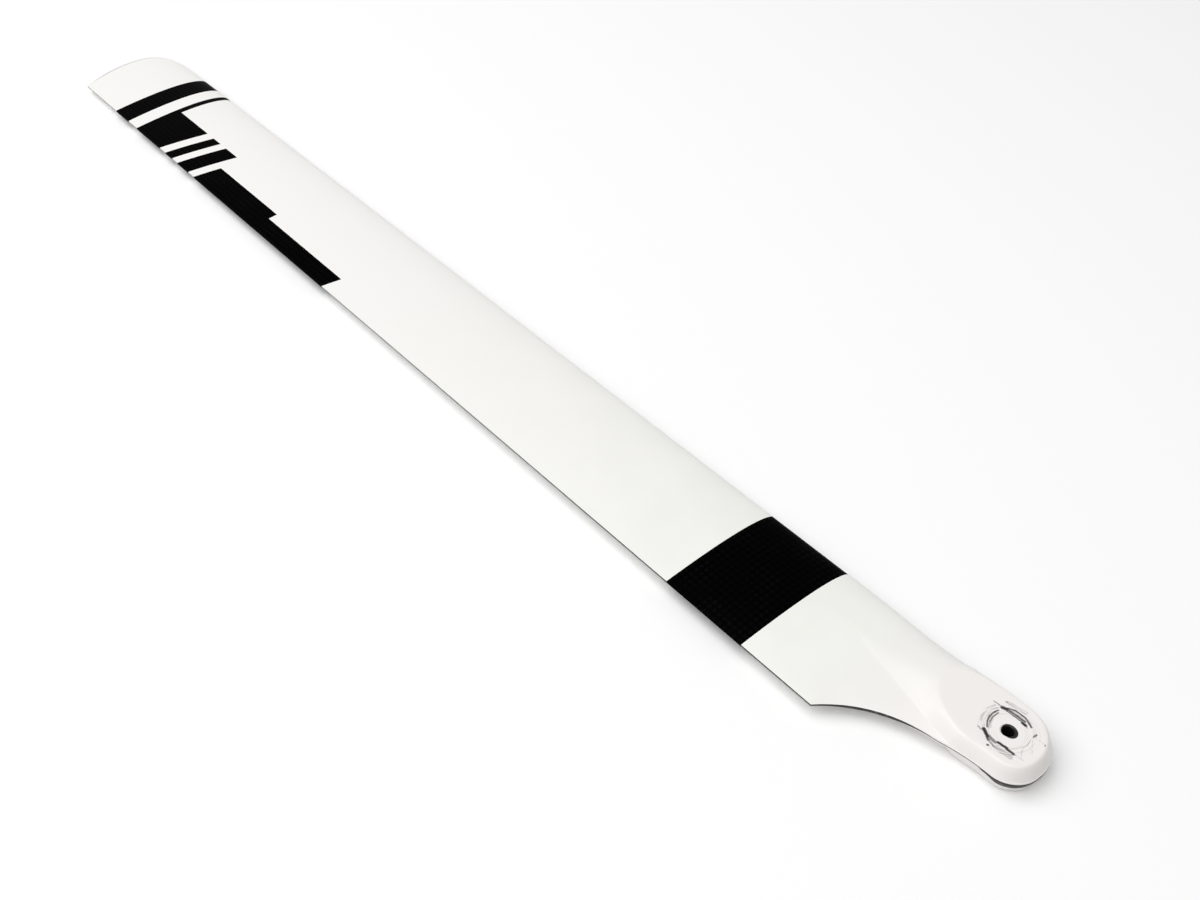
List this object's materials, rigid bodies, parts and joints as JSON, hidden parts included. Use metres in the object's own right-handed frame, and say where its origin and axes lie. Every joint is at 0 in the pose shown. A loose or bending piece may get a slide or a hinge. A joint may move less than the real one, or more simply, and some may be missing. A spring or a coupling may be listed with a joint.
{
  "type": "helicopter rotor blade",
  "caption": "Main rotor blade of a model helicopter: symmetric section, raked round tip, hollowed root with a thick flat grip pad and a bolt hole.",
  "frame": {"origin": "centre of the bolt hole at mid thickness", "axes": "+X along the blade to the tip, +Y to the trailing edge, +Z along the bolt hole"},
  "size_m": [0.7297, 0.062, 0.014],
  "materials": {
    "blade_gelcoat": "gloss white gelcoat over a moulded carbon and glass fibre blade, with bare clear-coated carbon fields"
  },
  "bodies": {
    "root": {"blade": "blade_gelcoat"}
  },
  "joints": []
}
